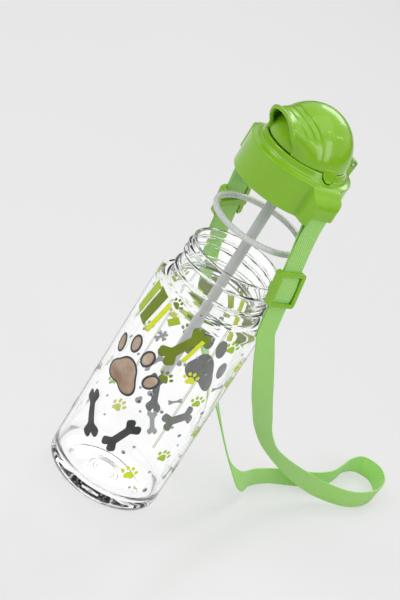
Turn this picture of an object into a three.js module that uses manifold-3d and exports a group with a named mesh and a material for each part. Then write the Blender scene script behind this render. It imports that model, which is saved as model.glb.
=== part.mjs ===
// Kids water bottle: clear body, seal ring, screw cap with flip cover, straw and carry strap.
// Millimetres, +Z up along the bottle's axis, origin at the centre of the base.
// The cap, straw and seal ring are shown lifted off the neck, in line with it.
import * as THREE from 'three';
import { mergeVertices } from 'three/addons/utils/BufferGeometryUtils.js';
import Module from 'manifold-3d';

const wasm = await Module();
wasm.setup();

// ---- driving dimensions ----
const BODY_R = 34; // outer radius of the bottle
const BODY_WALL = 2.3;
const FOOT_IN_R = 23.2; // flat foot ring that the bottle stands on
const FOOT_OUT_R = 27;
const FLOOR_Z = 6.6; // inside floor
const SHOULDER_Z = 129; // end of the straight wall
const NECK_R = 26.8;
const NECK_BORE_R = 24.6;
const LIP_Z = 159.3;
const THREAD_R = 27.9;

const CAP_CLOSED_Z = 143; // underside of the skirt when screwed down
const CAP_LIFT = 65; // how far the cap is shown lifted
const CAP_Z = CAP_CLOSED_Z + CAP_LIFT;
const SKIRT_R = 30.3;
const SKIRT_BORE_R = 28.9;
const CAP_THREAD_R = 28.4;
const DECK_UNDER = 19.6; // heights above the skirt's underside
const DECK_TOP = 21.6;
const COLLAR_TOP = 25.8;
const COLLAR_R = 25.9;
const COVER_BASE = 26.2;

const SEAL_IN_R = 24.8;
const SEAL_OUT_R = 28.1;
const SEAL_HEIGHT = 3;
const SEAL_LIFT = 21.6;
const SEAL_Z = LIP_Z + 0.1 + SEAL_LIFT;

const DOME_R = 24.4; // cover dome: horizontal and vertical half axes
const DOME_H = 25.4;
const COVER_WALL = 1.8;
const VISOR_Y = -8; // centre of the front shell that ends in the finger lip
const VISOR_RX = 19.5;
const VISOR_RY = 20.6;
const VISOR_H = 18;
const VISOR_RISE = 4;
const ARCH_HALF = 12.6; // opening under the finger lip
const ARCH_TOP = 15;
const HINGE_Y = 27.4;
const HINGE_Z = CAP_Z + 27.2;
const HINGE_PIN_R = 1.1;
const KNUCKLE_R = 2.6;
const KNUCKLE_X = 5;
const LUG_WIDTH = 3.7;

const STRAW_R = 3;
const STRAW_BORE_R = 2.3;
const STRAW_LOW_Z = 77;

const STRAP_WIDTH = 12;
const STRAP_THICK = 1;
const EAR_HALF = 9.6; // carry-strap ears at +X and -X
const EAR_FACE_X = 37.4;
const EAR_CORNER_R = 3.6;
const EAR_FOOT = 5; // height of the strap's way out, under the ear's outer face
const PIN_X = 34.1; // pin inside the ear that the strap loops round
const PIN_R = 0.8;
const PIN_Z = CAP_Z + 8.5;
const PIN_BEND_R = 1.6; // strap centreline radius round the pin
const LAYER_GAP = 0.63; // half the distance between the two strap layers at the slider

const GAP = 0.3;
const ROUND = 48; // facets round a full turn

// ---- colours ----
const colours = {
  clear: { color: 0xe8eef0, roughness: 0.05, metalness: 0, transparent: true, opacity: 0.35 },
  green: { color: 0x86bf25, roughness: 0.25, metalness: 0 },
  webbing: { color: 0x8fc866, roughness: 0.85, metalness: 0 },
  silicone: { color: 0xd8dcdc, roughness: 0.4, metalness: 0, transparent: true, opacity: 0.6 },
  straw: { color: 0xb4b8b8, roughness: 0.45, metalness: 0 },
  steel: { color: 0xb8babd, roughness: 0.3, metalness: 1 },
};

const bottle = new THREE.Group();

// ---- helpers ----
function place(name, geometry, colour, parent = bottle) {
  const mesh = new THREE.Mesh(geometry, new THREE.MeshStandardMaterial(colours[colour]));
  mesh.name = name;
  parent.add(mesh);
  return mesh;
}

function solid(geometry) {
  const plain = geometry.index ? geometry.toNonIndexed() : geometry.clone();
  plain.deleteAttribute('normal');
  plain.deleteAttribute('uv');
  const merged = mergeVertices(plain, 1e-4);
  const mesh = new wasm.Mesh({
    numProp: 3,
    vertProperties: new Float32Array(merged.attributes.position.array),
    triVerts: new Uint32Array(merged.index.array),
  });
  return new wasm.Manifold(mesh);
}

function toGeometry(manifold) {
  const mesh = manifold.getMesh();
  const geometry = new THREE.BufferGeometry();
  geometry.setAttribute('position', new THREE.BufferAttribute(new Float32Array(mesh.vertProperties), 3));
  geometry.setIndex(new THREE.BufferAttribute(new Uint32Array(mesh.triVerts), 1));
  return geometry;
}

// Points of an arc in a profile plane; angles in degrees.
function arc(x, z, radius, from, to, steps) {
  const points = [];
  for (let i = 0; i <= steps; i += 1) {
    const angle = THREE.MathUtils.degToRad(from + ((to - from) * i) / steps);
    points.push([x + radius * Math.cos(angle), z + radius * Math.sin(angle)]);
  }
  return points;
}

// A lathe about +Z from [radius, z] points. A ring's profile is closed on itself.
function turned(profile, closed = false, segments = ROUND) {
  const points = profile.map(([r, z]) => new THREE.Vector2(r, z));
  if (closed) {
    points.push(points[0].clone());
  }
  return new THREE.LatheGeometry(points, segments).rotateX(Math.PI / 2);
}

function shapeOf(points) {
  return new THREE.Shape(points.map(([x, y]) => new THREE.Vector2(x, y)));
}

// Prism along X from [y, z] points.
function prismX(points, x0, x1) {
  const geometry = new THREE.ExtrudeGeometry(shapeOf(points), { depth: x1 - x0, bevelEnabled: false });
  geometry.applyMatrix4(new THREE.Matrix4().makeBasis(
    new THREE.Vector3(0, 1, 0),
    new THREE.Vector3(0, 0, 1),
    new THREE.Vector3(1, 0, 0),
  ));
  return geometry.translate(x0, 0, 0);
}

// Prism along Y from [x, z] points.
function prismY(points, y0, y1) {
  const geometry = new THREE.ExtrudeGeometry(shapeOf(points), { depth: y1 - y0, bevelEnabled: false });
  return geometry.rotateX(Math.PI / 2).translate(0, y1, 0);
}

// Prism along Z from [x, y] points.
function prismZ(points, z0, z1) {
  const geometry = new THREE.ExtrudeGeometry(shapeOf(points), { depth: z1 - z0, bevelEnabled: false });
  return geometry.translate(0, 0, z0);
}

function box(x0, x1, y0, y1, z0, z1) {
  const geometry = new THREE.BoxGeometry(x1 - x0, y1 - y0, z1 - z0);
  return geometry.translate((x0 + x1) / 2, (y0 + y1) / 2, (z0 + z1) / 2);
}

function rodX(radius, x0, x1, y, z, segments = 16) {
  const geometry = new THREE.CylinderGeometry(radius, radius, x1 - x0, segments);
  return geometry.rotateZ(Math.PI / 2).translate((x0 + x1) / 2, y, z);
}

function rodY(radius, y0, y1, x, z, segments = 16) {
  const geometry = new THREE.CylinderGeometry(radius, radius, y1 - y0, segments);
  return geometry.translate(x, (y0 + y1) / 2, z);
}

function roundedRect(cx, cy, halfX, halfY, radius, steps = 4) {
  return [
    ...arc(cx + halfX - radius, cy + halfY - radius, radius, 0, 90, steps),
    ...arc(cx - halfX + radius, cy + halfY - radius, radius, 90, 180, steps),
    ...arc(cx - halfX + radius, cy - halfY + radius, radius, 180, 270, steps),
    ...arc(cx + halfX - radius, cy - halfY + radius, radius, 270, 360, steps),
  ];
}

// A path whose sweep keeps the section's x axis along a stated direction.
class FramedPath extends THREE.Curve {
  constructor(pointAt, acrossAt) {
    super();
    this.pointAt = pointAt;
    this.acrossAt = acrossAt;
  }

  getPoint(t, target = new THREE.Vector3()) {
    return target.copy(this.pointAt(t));
  }

  computeFrenetFrames(segments) {
    const frames = { tangents: [], normals: [], binormals: [] };
    for (let i = 0; i <= segments; i += 1) {
      const t = this.getUtoTmapping(i / segments);
      const tangent = this.getTangent(t);
      const across = this.acrossAt(t).clone();
      across.addScaledVector(tangent, -across.dot(tangent)).normalize();
      frames.tangents.push(tangent);
      frames.normals.push(across);
      frames.binormals.push(new THREE.Vector3().crossVectors(tangent, across));
    }
    return frames;
  }
}

function sweep(section, path, steps) {
  return new THREE.ExtrudeGeometry(shapeOf(section), { extrudePath: path, steps, bevelEnabled: false });
}

// One thread ridge: a helix from a wall at rootR to a crest at crestR.
function threadRidge(rootR, crestR, z0, z1, start, span) {
  const height = crestR - rootR;
  const foot = -Math.sign(height) * 0.4;
  const angleAt = (t) => THREE.MathUtils.degToRad(start + span * t);
  const outward = (t) => new THREE.Vector3(Math.cos(angleAt(t)), Math.sin(angleAt(t)), 0);
  const path = new FramedPath(
    (t) => outward(t).multiplyScalar(rootR).setZ(z0 + (z1 - z0) * t),
    outward,
  );
  const section = [[foot, -1.2], [height, -0.5], [height, 0.5], [foot, 1.2]];
  return solid(sweep(section, path, 20));
}

// ---- bottle body ----
function bottleBody() {
  const inner = BODY_R - BODY_WALL;
  const outline = [
    [0, 3.4], [8.4, 3.4], [9.2, 2.6], [20, 1.8],
    [FOOT_IN_R, 0], [FOOT_OUT_R, 0],
    ...arc(FOOT_OUT_R, 7, 7, -75, 0, 5),
    ...arc(BODY_R - 4.6, SHOULDER_Z, 4.6, 0, 80, 5),
    [28.2, SHOULDER_Z + 4.9], [27.1, SHOULDER_Z + 6],
    [NECK_R, SHOULDER_Z + 8], [NECK_R, LIP_Z - 0.8], [NECK_R - 0.8, LIP_Z],
    [NECK_BORE_R + 0.6, LIP_Z], [NECK_BORE_R, LIP_Z - 0.6],
    [NECK_BORE_R, SHOULDER_Z + 6],
    ...arc(inner - 6, SHOULDER_Z - 3, 6, 62, 0, 4),
    ...arc(inner - 8, FLOOR_Z + 8, 8, 0, -90, 5),
    [0, FLOOR_Z],
  ];
  let body = solid(turned(outline));
  const ridges = 3;
  for (let i = 0; i < ridges; i += 1) {
    body = body.add(threadRidge(NECK_R, THREAD_R, LIP_Z - 13, LIP_Z - 4, (i * 360) / ridges, 150));
  }
  place('bottle_body', toGeometry(body), 'clear');
}

function sealRing() {
  const r = 0.8;
  const middle = (SEAL_IN_R + SEAL_OUT_R) / 2;
  const halfWidth = (SEAL_OUT_R - SEAL_IN_R) / 2;
  const section = roundedRect(middle, SEAL_Z + SEAL_HEIGHT / 2, halfWidth, SEAL_HEIGHT / 2, r, 2);
  place('seal_ring', turned(section, true), 'silicone');
}

// ---- screw cap ----
const VALVE_Y = 15.5;
const VALVE_HOLE_R = 2.1;
const SPOUT_HOLE_R = 5.2;
const TONGUE_Z = CAP_Z + 22.3;

function tongueOutline(grow) {
  const low = TONGUE_Z + 4 - grow;
  return [
    [5 + grow, COVER_BASE + CAP_Z + 2],
    [-4 - grow, COVER_BASE + CAP_Z + 2],
    ...arc(0.5, low, 4.5 + grow, 180, 360, 8),
  ];
}

// An ear is a rounded block on the skirt, with a slot for the strap and a way out under its face.
function ear(side) {
  const mirrored = (body) => (side < 0 ? body.mirror([1, 0, 0]) : body);
  const centre = EAR_FACE_X - EAR_CORNER_R;
  const plan = [
    [27, -EAR_HALF], ...arc(centre, EAR_CORNER_R - EAR_HALF, EAR_CORNER_R, -90, 0, 5),
    ...arc(centre, EAR_HALF - EAR_CORNER_R, EAR_CORNER_R, 0, 90, 5), [27, EAR_HALF],
  ];
  const profile = [
    [10, 0], [EAR_FACE_X, 0], ...arc(EAR_FACE_X - 5.5, 12, 5.5, 0, 65, 5),
    [28.6, 18.9], [26.6, 19.9], [10, 19.9],
  ].map(([x, z]) => [x, CAP_Z + z]);
  const block = solid(prismZ(plan, CAP_Z, CAP_Z + 24)).intersect(solid(prismY(profile, -20, 20)));
  const slot = solid(box(PIN_X - 2.3, PIN_X + 2.3, -6.7, 6.7, CAP_Z - 1, PIN_Z + 2.6));
  const wayOut = solid(box(PIN_X, EAR_FACE_X + 1, -6.7, 6.7, CAP_Z - 1, CAP_Z + EAR_FOOT));
  const pinHole = solid(rodY(PIN_R + 0.3, -7.7, EAR_HALF + 5, PIN_X, PIN_Z, 12));
  return { body: mirrored(block), cut: mirrored(slot.add(wayOut).add(pinHole)) };
}

function screwCap() {
  const outline = [
    [SKIRT_BORE_R, 0], [SKIRT_R, 0],
    ...arc(SKIRT_R - 1.8, 18.2, 1.6, 0, 65, 4),
    [COLLAR_R + 0.9, 20.6], [COLLAR_R + 0.1, 20.8], [COLLAR_R + 0.1, 21.6], [COLLAR_R - 0.4, 22.2],
    [24.9, COLLAR_TOP], [23.2, COLLAR_TOP], [22.9, DECK_TOP + 0.6],
    [22.3, DECK_TOP], [9.4, DECK_TOP], [9, 22.8], [8.2, 22.8], [8, DECK_TOP],
    [SPOUT_HOLE_R, DECK_TOP], [SPOUT_HOLE_R, DECK_UNDER], [SKIRT_BORE_R, DECK_UNDER],
  ].map(([r, z]) => [r, z + CAP_Z]);
  const bore = solid(new THREE.CylinderGeometry(SKIRT_BORE_R, SKIRT_BORE_R, DECK_UNDER + 1, ROUND)
    .rotateX(Math.PI / 2)
    .translate(0, 0, CAP_Z - 1 + (DECK_UNDER + 1) / 2));
  let cap = solid(turned(outline, true));
  let cuts = null;
  for (const side of [1, -1]) {
    const lug = ear(side);
    cap = cap.add(lug.body.subtract(bore));
    cuts = cuts ? cuts.add(lug.cut) : lug.cut;
  }
  const lugs = 3;
  for (let i = 0; i < lugs; i += 1) {
    cap = cap.add(threadRidge(SKIRT_BORE_R, CAP_THREAD_R, CAP_Z + 4, CAP_Z + 8, (i * 360) / lugs + 60, 70));
  }
  for (const x of [-KNUCKLE_X - GAP - LUG_WIDTH, KNUCKLE_X + GAP]) {
    cap = cap.add(solid(rodX(KNUCKLE_R, x, x + LUG_WIDTH, HINGE_Y, HINGE_Z)));
    const web = [
      [24.4, CAP_Z + 21], [29, CAP_Z + 19], [HINGE_Y + 2.4, HINGE_Z - 0.9],
      [HINGE_Y, HINGE_Z], [24.6, CAP_Z + 25.2],
    ];
    cap = cap.add(solid(prismX(web, x, x + LUG_WIDTH)));
  }
  cuts = cuts.add(solid(rodX(HINGE_PIN_R + GAP, -8.2, 10, HINGE_Y, HINGE_Z)));
  cuts = cuts.add(solid(rodX(KNUCKLE_R + 0.5, -KNUCKLE_X - 0.01, KNUCKLE_X + 0.01, HINGE_Y, HINGE_Z)));
  cuts = cuts.add(solid(prismX(tongueOutline(0.4), 22.6, 27)));
  cuts = cuts.add(solid(prismX(tongueOutline(0.4), -27, -22.6)));
  cuts = cuts.add(solid(new THREE.CylinderGeometry(VALVE_HOLE_R, VALVE_HOLE_R, 6, 16)
    .rotateX(Math.PI / 2)
    .translate(0, VALVE_Y, CAP_Z + 20.6)));
  place('screw_cap', toGeometry(cap.subtract(cuts)), 'green');
}

// ---- flip cover ----
function ellipsoid(rx, ry, rz, y, z) {
  return solid(new THREE.SphereGeometry(1, 40, 24).rotateX(Math.PI / 2).scale(rx, ry, rz).translate(0, y, z));
}

function flipCover() {
  const z = CAP_Z + COVER_BASE;
  const domeOut = ellipsoid(DOME_R, DOME_R, DOME_H, 0, z);
  const domeIn = ellipsoid(DOME_R - COVER_WALL, DOME_R - COVER_WALL, DOME_H - COVER_WALL, 0, z);
  const visorZ = z + VISOR_RISE;
  const visorOut = ellipsoid(VISOR_RX, VISOR_RY, VISOR_H, VISOR_Y, visorZ);
  const wall = COVER_WALL + 0.2;
  const visorIn = ellipsoid(VISOR_RX - wall, VISOR_RY - wall, VISOR_H - wall, VISOR_Y, visorZ);
  const archOutline = arc(0, 0, 1, 0, 180, 12).map(([x, h]) => [x * ARCH_HALF, z + h * ARCH_TOP]);
  archOutline.push([-ARCH_HALF, z - 3], [ARCH_HALF, z - 3]);
  const arch = solid(prismY(archOutline, -60, -8));
  const above = solid(box(-60, 60, -60, 60, z, z + 60));
  const visor = visorOut.subtract(visorIn).subtract(arch);
  let cover = domeOut.add(visor).subtract(domeIn).intersect(above);
  for (const x of [-KNUCKLE_X - 4.3, KNUCKLE_X - 0.05]) {
    cover = cover.subtract(solid(rodX(KNUCKLE_R + 0.5, x, x + 4.35, HINGE_Y, HINGE_Z)));
  }
  for (const side of [1, -1]) {
    const x0 = side > 0 ? 23.1 : -24.9;
    cover = cover.add(solid(prismX(tongueOutline(0), x0, x0 + 1.8)));
  }
  const arm = [[22.8, z], [24.6, z], [HINGE_Y, HINGE_Z - 1.6], [HINGE_Y, HINGE_Z + 2.5], [22.8, z + 4.5]];
  const knuckle = solid(rodX(KNUCKLE_R, -KNUCKLE_X + 0.2, KNUCKLE_X - 0.2, HINGE_Y, HINGE_Z));
  const armSolid = solid(prismX(arm, -KNUCKLE_X + 0.2, KNUCKLE_X - 0.2));
  cover = cover.add(knuckle).add(armSolid);
  cover = cover.subtract(solid(rodX(HINGE_PIN_R + GAP, -KNUCKLE_X - 1, KNUCKLE_X + 1, HINGE_Y, HINGE_Z)));
  place('flip_cover', toGeometry(cover), 'green');
  place('hinge_pin', rodX(HINGE_PIN_R, -7.9, 8.8, HINGE_Y, HINGE_Z), 'steel');
}

// ---- drinking parts ----
const SPOUT_TOP = 44.8;
const SOCKET_LOW = 9.5;

function drinkingParts() {
  const spout = [
    [STRAW_BORE_R, SPOUT_TOP - 0.6], [STRAW_BORE_R, 18],
    [STRAW_R + 0.3, 18], [STRAW_R + 0.3, SOCKET_LOW], [5.2, SOCKET_LOW], [5.6, 12],
    [7.4, 18.6], [7.4, DECK_UNDER - GAP], [SPOUT_HOLE_R - GAP, DECK_UNDER - GAP],
    [SPOUT_HOLE_R - GAP, DECK_TOP + GAP], [7.6, DECK_TOP + GAP], [7.2, 24],
    [5.4, 25.4], [4.6, 30], [4.4, 40], [5, 42.6], [4.7, SPOUT_TOP - 0.5], [4, SPOUT_TOP],
    [STRAW_BORE_R + 0.6, SPOUT_TOP],
  ].map(([r, z]) => [r, z + CAP_Z]);
  place('mouthpiece', turned(spout, true, 32), 'silicone');

  const plugTop = CAP_Z + 49;
  const plug = [
    [0, CAP_Z + SPOUT_TOP + GAP], [5.4, CAP_Z + SPOUT_TOP + GAP], [5.8, CAP_Z + SPOUT_TOP + 0.9],
    [5.4, plugTop - 0.4], [4.6, plugTop], [0, plugTop],
  ];
  place('cover_plug', turned(plug, false, 32), 'silicone');

  const straw = [
    [STRAW_BORE_R, STRAW_LOW_Z], [STRAW_R, STRAW_LOW_Z],
    [STRAW_R, CAP_Z + 17.6], [STRAW_BORE_R, CAP_Z + 17.6],
  ];
  place('straw', turned(straw, true, 24), 'straw');

  const valve = [
    [0, 16.4], [1.4, 16.6], [2.8, 17.8], [2.8, DECK_UNDER - GAP], [VALVE_HOLE_R - GAP, DECK_UNDER - GAP],
    [VALVE_HOLE_R - GAP, DECK_TOP + GAP], [3.4, DECK_TOP + GAP], [3, DECK_TOP + 1.2], [0, DECK_TOP + 1.5],
  ].map(([r, z]) => [r, z + CAP_Z]);
  place('air_valve', turned(valve, false, 20), 'silicone').position.y = VALVE_Y;
}

// ---- strap, pins and sliders ----
// Ribbon stations: x, y, z of the centreline, then the direction across the webbing.
const RIGHT_RUN = [
  [44.1, 3.8, 147.8, 0, 1, 0.06], [45.1, 4.2, 142.5, 0, 1, 0.06], [46.2, 6.8, 136.5, 0, 1, 0.2],
  [46, 11.4, 129, 0.1, 1, 0.2], [43.6, 22.4, 114, 0.3, 1, 0.3],
  [38.4, 36.4, 97, 0.6, 1, 0.4], [31, 52, 81, 0.9, 0.8, 0.4], [21, 70, 64, 1, 0.5, 0.4],
  [13, 91, 46.5, 1, 0.3, 0.5], [7, 112, 33.5, 0.8, 0.2, 0.7], [3, 132, 23, 0.5, 0, 0.9],
  [1, 151, 14.5, 0.2, 0, 1], [1, 169, 8.8, 0, 0, 1], [3, 187, 6.4, 0, 0, 1],
];
const FLOOR_LOOP = [
  [3.4, 189.4, 6.4, 0, 0, 1], [2, 205, 6.4, 0, 0, 1], [-4.5, 220, 6.4, 0.1, 0, 1],
  [-15, 231, 6.4, 0.1, 0.1, 1], [-26, 233.5, 6.6, 0, 0.2, 1], [-33, 226, 6.6, -0.1, 0.2, 1],
  [-30.5, 213, 6.4, 0, 0.1, 1], [-22.5, 200, 6.4, 0, 0, 1], [-15, 186, 6.4, 0, 0, 1],
  [-11.5, 170, 6.4, 0, 0, 1], [-11, 152, 6.4, 0, 0, 1], [-10.5, 135, 6.4, 0, 0, 1],
  [-7, 118, 6.5, -0.2, 0, 1],
];
const LEFT_RUN = [
  [-43.8, 17.9, 150.3, 0, 1, 0.32], [-44.8, 19.5, 145.3, 0, 1, 0.32],
  [-45.7, 21.5, 138.5, 0, 1, 0.3], [-44.3, 23.8, 130, 0, 1, 0.2], [-40.4, 27.5, 117, -0.2, 1, 0.1],
  [-34.5, 33, 102, -0.4, 1, 0.1], [-27, 40.5, 86, -0.7, 1, 0.1], [-19, 49, 71, -1, 0.8, 0.1],
  [-11.5, 58, 57, -1, 0.6, 0.1], [-4.5, 67, 43, -1, 0.4, 0.1], [1.5, 76, 30, -1, 0.2, 0.2],
  [4.5, 86.5, 18.5, -1, 0, 0.4], [3.6, 99, 10.5, -0.8, 0, 0.8], [-2, 110, 7.2, -0.4, 0, 1],
  [-6.6, 116.8, 6.6, -0.2, 0, 1],
];
const HANGERS = [
  { side: 'right', sign: 1, drop: new THREE.Vector3(0.16, 0.065, -1).normalize() },
  { side: 'left', sign: -1, drop: new THREE.Vector3(-0.162, 0.32, -1).normalize() },
];
const HANG_FROM_Z = CAP_Z - 2;
const SLIDER_DOWN = 36.5; // distance from the ear to the slider's middle
const LOOP_DOWN = 58.6; // where the loop's outer layer meets the main run
const TAIL_DOWN = 67; // where the inner layer ends

function ribbonSection(width, thickness) {
  const x = width / 2;
  const y = thickness / 2;
  return [[-x, -y], [x, -y], [x, y], [-x, y]];
}

function ribbon(stations, steps, width = STRAP_WIDTH, thickness = STRAP_THICK) {
  const centre = new THREE.CatmullRomCurve3(stations.map((s) => new THREE.Vector3(s[0], s[1], s[2])));
  const across = new THREE.CatmullRomCurve3(stations.map((s) => new THREE.Vector3(s[3], s[4], s[5])));
  const path = new FramedPath((t) => centre.getPoint(t), (t) => across.getPoint(t));
  return sweep(ribbonSection(width, thickness), path, steps);
}

// The strap end goes up through the ear's slot, round the pin and back down beside itself.
function strapLoop(hanger) {
  const { sign, drop } = hanger;
  const out = new THREE.Vector3(sign, 0, 0);
  const start = new THREE.Vector3(sign * PIN_X, 0, HANG_FROM_Z);
  const down = (distance, offset) => (
    start.clone().addScaledVector(drop, distance).addScaledVector(out, offset)
  );
  const level = (z, offset) => new THREE.Vector3(sign * PIN_X, 0, z).addScaledVector(out, offset);
  const points = [
    down(TAIL_DOWN, -LAYER_GAP), down(48, -LAYER_GAP), down(SLIDER_DOWN, -LAYER_GAP),
    down(26, -LAYER_GAP), down(15, -LAYER_GAP), down(6, -LAYER_GAP - 0.4),
    level(HANG_FROM_Z + 3, -PIN_BEND_R + 0.1), level(PIN_Z - 3, -PIN_BEND_R),
    ...arc(0, 0, PIN_BEND_R, 180, 0, 6).map(([x, z]) => level(PIN_Z + z, x)),
    level(PIN_Z - 3, PIN_BEND_R), level(HANG_FROM_Z + 3, PIN_BEND_R - 0.1),
    down(6, LAYER_GAP + 0.4), down(15, LAYER_GAP), down(26, LAYER_GAP),
    down(SLIDER_DOWN, LAYER_GAP), down(48, LAYER_GAP), down(LOOP_DOWN, LAYER_GAP),
  ];
  const centre = new THREE.CatmullRomCurve3(points, false, 'centripetal');
  const across = new THREE.Vector3(0, 1, 0);
  const path = new FramedPath((t) => centre.getPoint(t), () => across);
  place(`strap_loop_${hanger.side}`, sweep(ribbonSection(STRAP_WIDTH, STRAP_THICK), path, 76), 'webbing');
  place(`strap_pin_${hanger.side}`, rodY(PIN_R, -7.3, EAR_HALF - 0.6, sign * PIN_X, PIN_Z, 12), 'steel');
}

// Three-bar slider: the strap runs behind the end bars and in front of the middle bar.
const SLIDER_HALF_W = 9;
const SLIDER_HALF_H = 10.5;
const SLIDER_BAR = 2.4;
const SLIDER_SLOT_HALF = STRAP_WIDTH / 2 + 0.5;

function slider(hanger) {
  const { sign, drop } = hanger;
  const front = LAYER_GAP + STRAP_THICK / 2 + 0.3;
  const depth = 1.4;
  const outline = roundedRect(0, 0, SLIDER_HALF_W, SLIDER_HALF_H, 1.6, 3);
  const plate = solid(prismZ(outline, -front - depth, front + depth));
  const backHalf = SLIDER_HALF_H - SLIDER_BAR;
  const windowCut = solid(box(-SLIDER_SLOT_HALF, SLIDER_SLOT_HALF, -backHalf, backHalf, -front, 9));
  const strapCut = solid(box(-SLIDER_SLOT_HALF, SLIDER_SLOT_HALF, -20, 20, -front, front));
  const backCuts = [[SLIDER_BAR, 20], [-20, -SLIDER_BAR]].map(([y0, y1]) => (
    solid(box(-SLIDER_SLOT_HALF, SLIDER_SLOT_HALF, y0, y1, -9, -front + 0.01))));
  const trimCuts = [[backHalf + 0.4, 20], [-20, -backHalf - 0.4]].map(([y0, y1]) => (
    solid(box(-20, 20, y0, y1, -9, -front + 0.01))));
  let frame = plate.subtract(windowCut).subtract(strapCut);
  for (const cut of [...backCuts, ...trimCuts]) {
    frame = frame.subtract(cut);
  }
  const mesh = place(`slider_${hanger.side}`, toGeometry(frame), 'green');
  const up = drop.clone().negate();
  const facing = new THREE.Vector3(sign, 0, 0);
  facing.addScaledVector(up, -facing.dot(up)).normalize();
  const across = new THREE.Vector3().crossVectors(up, facing);
  mesh.quaternion.setFromRotationMatrix(new THREE.Matrix4().makeBasis(across, up, facing));
  mesh.position.set(sign * PIN_X, 0, HANG_FROM_Z).addScaledVector(drop, SLIDER_DOWN);
}

function strap() {
  for (const hanger of HANGERS) {
    strapLoop(hanger);
    slider(hanger);
  }
  place('strap_run_right', ribbon(RIGHT_RUN, 40), 'webbing');
  place('strap_floor_loop', ribbon(FLOOR_LOOP, 44), 'webbing');
  place('strap_run_left', ribbon(LEFT_RUN, 36), 'webbing');
}

bottleBody();
sealRing();
screwCap();
flipCover();
drinkingParts();
strap();

export default bottle;
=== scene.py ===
import math

import bmesh
import bpy
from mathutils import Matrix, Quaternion, Vector


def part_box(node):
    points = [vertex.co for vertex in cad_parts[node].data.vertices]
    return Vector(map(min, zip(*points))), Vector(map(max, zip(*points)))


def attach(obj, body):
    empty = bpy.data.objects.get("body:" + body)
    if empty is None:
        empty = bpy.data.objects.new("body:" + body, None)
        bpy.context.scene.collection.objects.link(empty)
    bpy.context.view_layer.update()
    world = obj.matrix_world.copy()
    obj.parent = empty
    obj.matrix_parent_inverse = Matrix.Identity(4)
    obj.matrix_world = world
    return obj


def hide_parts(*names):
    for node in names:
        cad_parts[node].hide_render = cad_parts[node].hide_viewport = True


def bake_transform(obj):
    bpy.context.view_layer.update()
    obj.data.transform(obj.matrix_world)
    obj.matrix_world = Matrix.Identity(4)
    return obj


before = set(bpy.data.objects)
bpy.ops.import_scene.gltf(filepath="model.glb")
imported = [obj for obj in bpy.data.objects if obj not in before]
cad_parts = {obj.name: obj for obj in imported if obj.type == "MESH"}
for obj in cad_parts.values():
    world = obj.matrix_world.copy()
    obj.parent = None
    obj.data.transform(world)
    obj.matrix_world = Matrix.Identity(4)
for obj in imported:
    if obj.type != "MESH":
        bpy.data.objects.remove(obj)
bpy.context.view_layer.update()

# Lengths in this script are in millimetres; add_mesh turns them into metres.
MM = 0.001


def low(name):
    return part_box(name)[0] / MM


def high(name):
    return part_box(name)[1] / MM


def between(name):
    """The middle of a node's box."""
    return (low(name) + high(name)) / 2


# ---- places and sizes taken from the frame ----
LIP_Z = high("bottle_body").z
BODY_R = high("bottle_body").x
SHOULDER_Z = LIP_Z - 30.3
CAP_Z = low("screw_cap").z
EAR_X = high("screw_cap").x
COVER_Z = CAP_Z + 26.2
STRAW_LOW_Z = low("straw").z
SEAL_MID_Z = between("seal_ring").z
PIN_X = between("strap_pin_right").x
PIN_Z = between("strap_pin_right").z
HINGE_Y = between("hinge_pin").y
HINGE_Z = between("hinge_pin").z
VALVE_Y = between("air_valve").y

# ---- driving sizes of the detailed pieces ----
BODY_WALL = 2.3
NECK_R = 26.8
NECK_BORE_R = 24.6
SKIRT_R = 30.2
SKIRT_BORE_R = 28.9
EAR_HALF = 9.6
EAR_CORNER_R = 3.6
EAR_FOOT = 5
EAR_SLOT_HALF = 6.7
LUG_R = 2.6
LUG_ROOM_R = 3.1
HINGE_HOLE_R = 1.4
DECK_LOW = 19.6
DECK_TOP = 21.6
COLLAR_TOP = 25.8
DOME_R = 24.1
DOME_H = 25.4
COVER_WALL = 1.8
STRAP_WIDTH = 12
STRAP_THICK = 1
LAYER_GAP = 0.63
HANG_Z = CAP_Z - 2
SLIDER_DOWN = 36.5
LOOP_DOWN = 58.6
TAIL_DOWN = 67

# ---- the strap's route: centreline, then the direction across the webbing ----
RIGHT_RUN = [
    (44.1, 3.8, 147.8, 0, 1, 0.06), (45.1, 4.2, 142.5, 0, 1, 0.06), (46.2, 6.8, 136.5, 0, 1, 0.2),
    (46, 11.4, 129, 0.1, 1, 0.2), (43.6, 22.4, 114, 0.3, 1, 0.3),
    (38.4, 36.4, 97, 0.6, 1, 0.4), (31, 52, 81, 0.9, 0.8, 0.4), (21, 70, 64, 1, 0.5, 0.4),
    (13, 91, 46.5, 1, 0.3, 0.5), (7, 112, 33.5, 0.8, 0.2, 0.7), (3, 132, 23, 0.5, 0, 0.9),
    (1, 151, 14.5, 0.2, 0, 1), (1, 169, 8.8, 0, 0, 1), (3, 187, 6.4, 0, 0, 1),
]
FLOOR_LOOP = [
    (3.4, 189.4, 6.4, 0, 0, 1), (2, 205, 6.4, 0, 0, 1), (-4.5, 220, 6.4, 0.1, 0, 1),
    (-15, 231, 6.4, 0.1, 0.1, 1), (-26, 233.5, 6.6, 0, 0.2, 1), (-33, 226, 6.6, -0.1, 0.2, 1),
    (-30.5, 213, 6.4, 0, 0.1, 1), (-22.5, 200, 6.4, 0, 0, 1), (-15, 186, 6.4, 0, 0, 1),
    (-11.5, 170, 6.4, 0, 0, 1), (-11, 152, 6.4, 0, 0, 1), (-10.5, 135, 6.4, 0, 0, 1),
    (-7, 118, 6.5, -0.2, 0, 1),
]
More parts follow.
